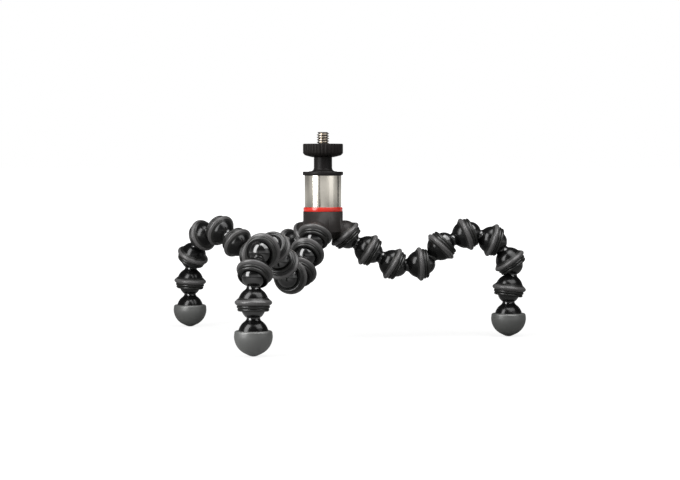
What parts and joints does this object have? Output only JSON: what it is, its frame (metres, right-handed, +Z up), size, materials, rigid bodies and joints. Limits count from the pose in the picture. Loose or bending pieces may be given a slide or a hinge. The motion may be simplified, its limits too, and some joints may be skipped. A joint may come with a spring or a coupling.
{
  "type": "flexible leg tripod",
  "caption": "Small table tripod with flexible ball-and-socket legs, grip rings, rubber feet, a friction ball head and a camera screw with a thumb wheel.",
  "frame": {"origin": "on the floor, under the middle of the tripod's box in its rest pose", "axes": "+Z up along the head and the camera screw, -Y towards the front leg's side, +X towards the right leg"},
  "size_m": [0.1898, 0.1872, 0.1066],
  "materials": {
    "link_plastic": "glossy black moulding",
    "grip_rubber": "satin dark grey soft moulding",
    "boot_rubber": "matt grey rubber",
    "hub_plastic": "satin black moulding",
    "red_plastic": "satin red moulding",
    "collar_steel": "turned and finely brushed steel",
    "black_metal": "satin black coating on metal",
    "seat_plastic": "plain natural moulding, hidden inside",
    "wheel_plastic": "satin black moulding with a ribbed rim",
    "screw_steel": "plain warm steel"
  },
  "bodies": {
    "hub": {"hub_body": "hub_plastic", "hub_grip_rings": "grip_rubber", "trim_ring": "red_plastic", "steel_collar": "collar_steel", "top_cap": "black_metal"},
    "ball_seat": {"ball_seat": "seat_plastic"},
    "ball_stem": {"ball_stem": "black_metal"},
    "wheel": {"thumb_wheel": "wheel_plastic", "camera_screw": "screw_steel"},
    "right_link_1": {"right_leg_link_1": "link_plastic", "right_leg_ring_1": "grip_rubber"},
    "right_link_2": {"right_leg_link_2": "link_plastic", "right_leg_ring_2": "grip_rubber"},
    "right_link_3": {"right_leg_link_3": "link_plastic", "right_leg_ring_3": "grip_rubber"},
    "right_link_4": {"right_leg_link_4": "link_plastic", "right_leg_ring_4": "grip_rubber"},
    "right_link_5": {"right_leg_link_5": "link_plastic", "right_leg_ring_5": "grip_rubber"},
    "right_link_6": {"right_leg_link_6": "link_plastic", "right_leg_ring_6": "grip_rubber"},
    "right_link_7": {"right_leg_link_7": "link_plastic", "right_leg_ring_7": "grip_rubber"},
    "right_link_8": {"right_leg_link_8": "link_plastic", "right_leg_ring_8": "grip_rubber"},
    "right_foot": {"right_leg_foot": "boot_rubber"},
    "left_link_1": {"left_leg_link_1": "link_plastic", "left_leg_ring_1": "grip_rubber"},
    "left_link_2": {"left_leg_link_2": "link_plastic", "left_leg_ring_2": "grip_rubber"},
    "left_link_3": {"left_leg_link_3": "link_plastic", "left_leg_ring_3": "grip_rubber"},
    "left_link_4": {"left_leg_link_4": "link_plastic", "left_leg_ring_4": "grip_rubber"},
    "left_link_5": {"left_leg_link_5": "link_plastic", "left_leg_ring_5": "grip_rubber"},
    "left_link_6": {"left_leg_link_6": "link_plastic", "left_leg_ring_6": "grip_rubber"},
    "left_link_7": {"left_leg_link_7": "link_plastic", "left_leg_ring_7": "grip_rubber"},
    "left_link_8": {"left_leg_link_8": "link_plastic", "left_leg_ring_8": "grip_rubber"},
    "left_foot": {"left_leg_foot": "boot_rubber"},
    "front_link_1": {"front_leg_link_1": "link_plastic", "front_leg_ring_1": "grip_rubber"},
    "front_link_2": {"front_leg_link_2": "link_plastic", "front_leg_ring_2": "grip_rubber"},
    "front_link_3": {"front_leg_link_3": "link_plastic", "front_leg_ring_3": "grip_rubber"},
    "front_link_4": {"front_leg_link_4": "link_plastic", "front_leg_ring_4": "grip_rubber"},
    "front_link_5": {"front_leg_link_5": "link_plastic", "front_leg_ring_5": "grip_rubber"},
    "front_link_6": {"front_leg_link_6": "link_plastic", "front_leg_ring_6": "grip_rubber"},
    "front_link_7": {"front_leg_link_7": "link_plastic", "front_leg_ring_7": "grip_rubber"},
    "front_link_8": {"front_leg_link_8": "link_plastic", "front_leg_ring_8": "grip_rubber"},
    "front_foot": {"front_leg_foot": "boot_rubber"}
  },
  "joints": [
    {"name": "head_pan", "type": "hinge", "parent": "hub", "child": "ball_seat", "pos_m": [-0.01125, 0.01176, 0.08292], "axis": [0, 0, 1], "continuous": true},
    {"name": "head_tilt", "type": "hinge", "parent": "ball_seat", "child": "ball_stem", "pos_m": [-0.01125, 0.01176, 0.08292], "axis": [1, 0, 0], "range_deg": [-30, 30]},
    {"name": "wheel_turn", "type": "hinge", "parent": "ball_stem", "child": "wheel", "pos_m": [-0.01125, 0.01176, 0.09362], "axis": [0, 0, 1], "continuous": true},
    {"name": "right_joint_1", "type": "hinge", "parent": "hub", "child": "right_link_1", "pos_m": [0.00159, 0.01402, 0.05198], "axis": [-0.1045, 0.9945, 0], "range_deg": [-23.86, 62]},
    {"name": "right_joint_2", "type": "hinge", "parent": "right_link_1", "child": "right_link_2", "pos_m": [0.01415, 0.01534, 0.0444], "axis": [0.1045, -0.9945, 0], "range_deg": [-45, 41]},
    {"name": "right_joint_3", "type": "hinge", "parent": "right_link_2", "child": "right_link_3", "pos_m": [0.02695, 0.01669, 0.03726], "axis": [-0.1045, 0.9945, 0], "range_deg": [-10, 76]},
    {"name": "right_joint_4", "type": "hinge", "parent": "right_link_3", "child": "right_link_4", "pos_m": [0.04156, 0.01822, 0.03829], "axis": [0.1045, -0.9945, 0], "range_deg": [-85, 1]},
    {"name": "right_joint_5", "type": "hinge", "parent": "right_link_4", "child": "right_link_5", "pos_m": [0.05174, 0.01929, 0.04888], "axis": [-0.1045, 0.9945, 0], "range_deg": [-67, 19]},
    {"name": "right_joint_6", "type": "hinge", "parent": "right_link_5", "child": "right_link_6", "pos_m": [0.06531, 0.02072, 0.0544], "axis": [0.1045, -0.9945, 0], "range_deg": [-2, 84]},
    {"name": "right_joint_7", "type": "hinge", "parent": "right_link_6", "child": "right_link_7", "pos_m": [0.07916, 0.02218, 0.0496], "axis": [-0.1045, 0.9945, 0], "range_deg": [-79, 7]},
    {"name": "right_joint_8", "type": "hinge", "parent": "right_link_7", "child": "right_link_8", "pos_m": [0.08756, 0.02306, 0.03754], "axis": [0.1045, -0.9945, 0], "range_deg": [-1, 85]},
    {"name": "right_joint_9", "type": "hinge", "parent": "right_link_8", "child": "right_foot", "pos_m": [0.08577, 0.02287, 0.02292], "axis": [-0.1045, 0.9945, 0], "range_deg": [-36, 50]},
    {"name": "left_joint_1", "type": "hinge", "parent": "hub", "child": "left_link_1", "pos_m": [-0.01964, 0.02175, 0.05198], "axis": [-0.6884, -0.7254, 0], "range_deg": [-12.65, 73.01]},
    {"name": "left_joint_2", "type": "hinge", "parent": "left_link_1", "child": "left_link_2", "pos_m": [-0.02967, 0.03127, 0.04695], "axis": [0.6884, 0.7254, 0], "range_deg": [-43, 43]},
    {"name": "left_joint_3", "type": "hinge", "parent": "left_link_2", "child": "left_link_3", "pos_m": [-0.03971, 0.0408, 0.04191], "axis": [-0.6884, -0.7254, 0], "range_deg": [-26.65, 59.35]},
    {"name": "left_joint_4", "type": "hinge", "parent": "left_link_3", "child": "left_link_4", "pos_m": [-0.05037, 0.05091, 0.04097], "axis": [0.6884, 0.7254, 0], "range_deg": [-78.65, 7.35]},
    {"name": "left_joint_5", "type": "hinge", "parent": "left_link_4", "child": "left_link_5", "pos_m": [-0.05943, 0.05951, 0.04878], "axis": [-0.6884, -0.7254, 0], "range_deg": [-51, 35]},
    {"name": "left_joint_6", "type": "hinge", "parent": "left_link_5", "child": "left_link_6", "pos_m": [-0.06918, 0.06877, 0.05477], "axis": [0.6884, 0.7254, 0], "range_deg": [-1, 85]},
    {"name": "left_joint_7", "type": "hinge", "parent": "left_link_6", "child": "left_link_7", "pos_m": [-0.07934, 0.07841, 0.05022], "axis": [-0.6884, -0.7254, 0], "range_deg": [-84, 2]},
    {"name": "left_joint_8", "type": "hinge", "parent": "left_link_7", "child": "left_link_8", "pos_m": [-0.08484, 0.08363, 0.03759], "axis": [0.6884, 0.7254, 0], "range_deg": [-17, 69]},
    {"name": "left_joint_9", "type": "hinge", "parent": "left_link_8", "child": "left_foot", "pos_m": [-0.08577, 0.08451, 0.02292], "axis": [-0.6884, -0.7254, 0], "range_deg": [-48, 38]},
    {"name": "front_joint_1", "type": "hinge", "parent": "hub", "child": "front_link_1", "pos_m": [-0.01571, -0.0005, 0.05198], "axis": [0.9511, -0.309, 0], "range_deg": [-24.96, 61]},
    {"name": "front_joint_2", "type": "hinge", "parent": "front_link_1", "child": "front_link_2", "pos_m": [-0.01957, -0.01237, 0.04418], "axis": [-0.9511, 0.309, 0], "range_deg": [-38, 48]},
    {"name": "front_joint_3", "type": "hinge", "parent": "front_link_2", "child": "front_link_3", "pos_m": [-0.02321, -0.02356, 0.03532], "axis": [0.9511, -0.309, 0], "range_deg": [-9.3, 76.7]},
    {"name": "front_joint_4", "type": "hinge", "parent": "front_link_3", "child": "front_link_4", "pos_m": [-0.02775, -0.03754, 0.03447], "axis": [-0.9511, 0.309, 0], "range_deg": [-81.3, 4.7]},
    {"name": "front_joint_5", "type": "hinge", "parent": "front_link_4", "child": "front_link_5", "pos_m": [-0.03148, -0.04901, 0.04292], "axis": [0.9511, -0.309, 0], "range_deg": [-46, 40]},
    {"name": "front_joint_6", "type": "hinge", "parent": "front_link_5", "child": "front_link_6", "pos_m": [-0.03533, -0.06089, 0.05072], "axis": [-0.9511, 0.309, 0], "range_deg": [-2, 84]},
    {"name": "front_joint_7", "type": "hinge", "parent": "front_link_6", "child": "front_link_7", "pos_m": [-0.03983, -0.07472, 0.04842], "axis": [0.9511, -0.309, 0], "range_deg": [-81, 5]},
    {"name": "front_joint_8", "type": "hinge", "parent": "front_link_7", "child": "front_link_8", "pos_m": [-0.04293, -0.08427, 0.03765], "axis": [-0.9511, 0.309, 0], "range_deg": [-1, 85]},
    {"name": "front_joint_9", "type": "hinge", "parent": "front_link_8", "child": "front_foot", "pos_m": [-0.04301, -0.08451, 0.02292], "axis": [0.9511, -0.309, 0], "range_deg": [-44, 42]}
  ]
}
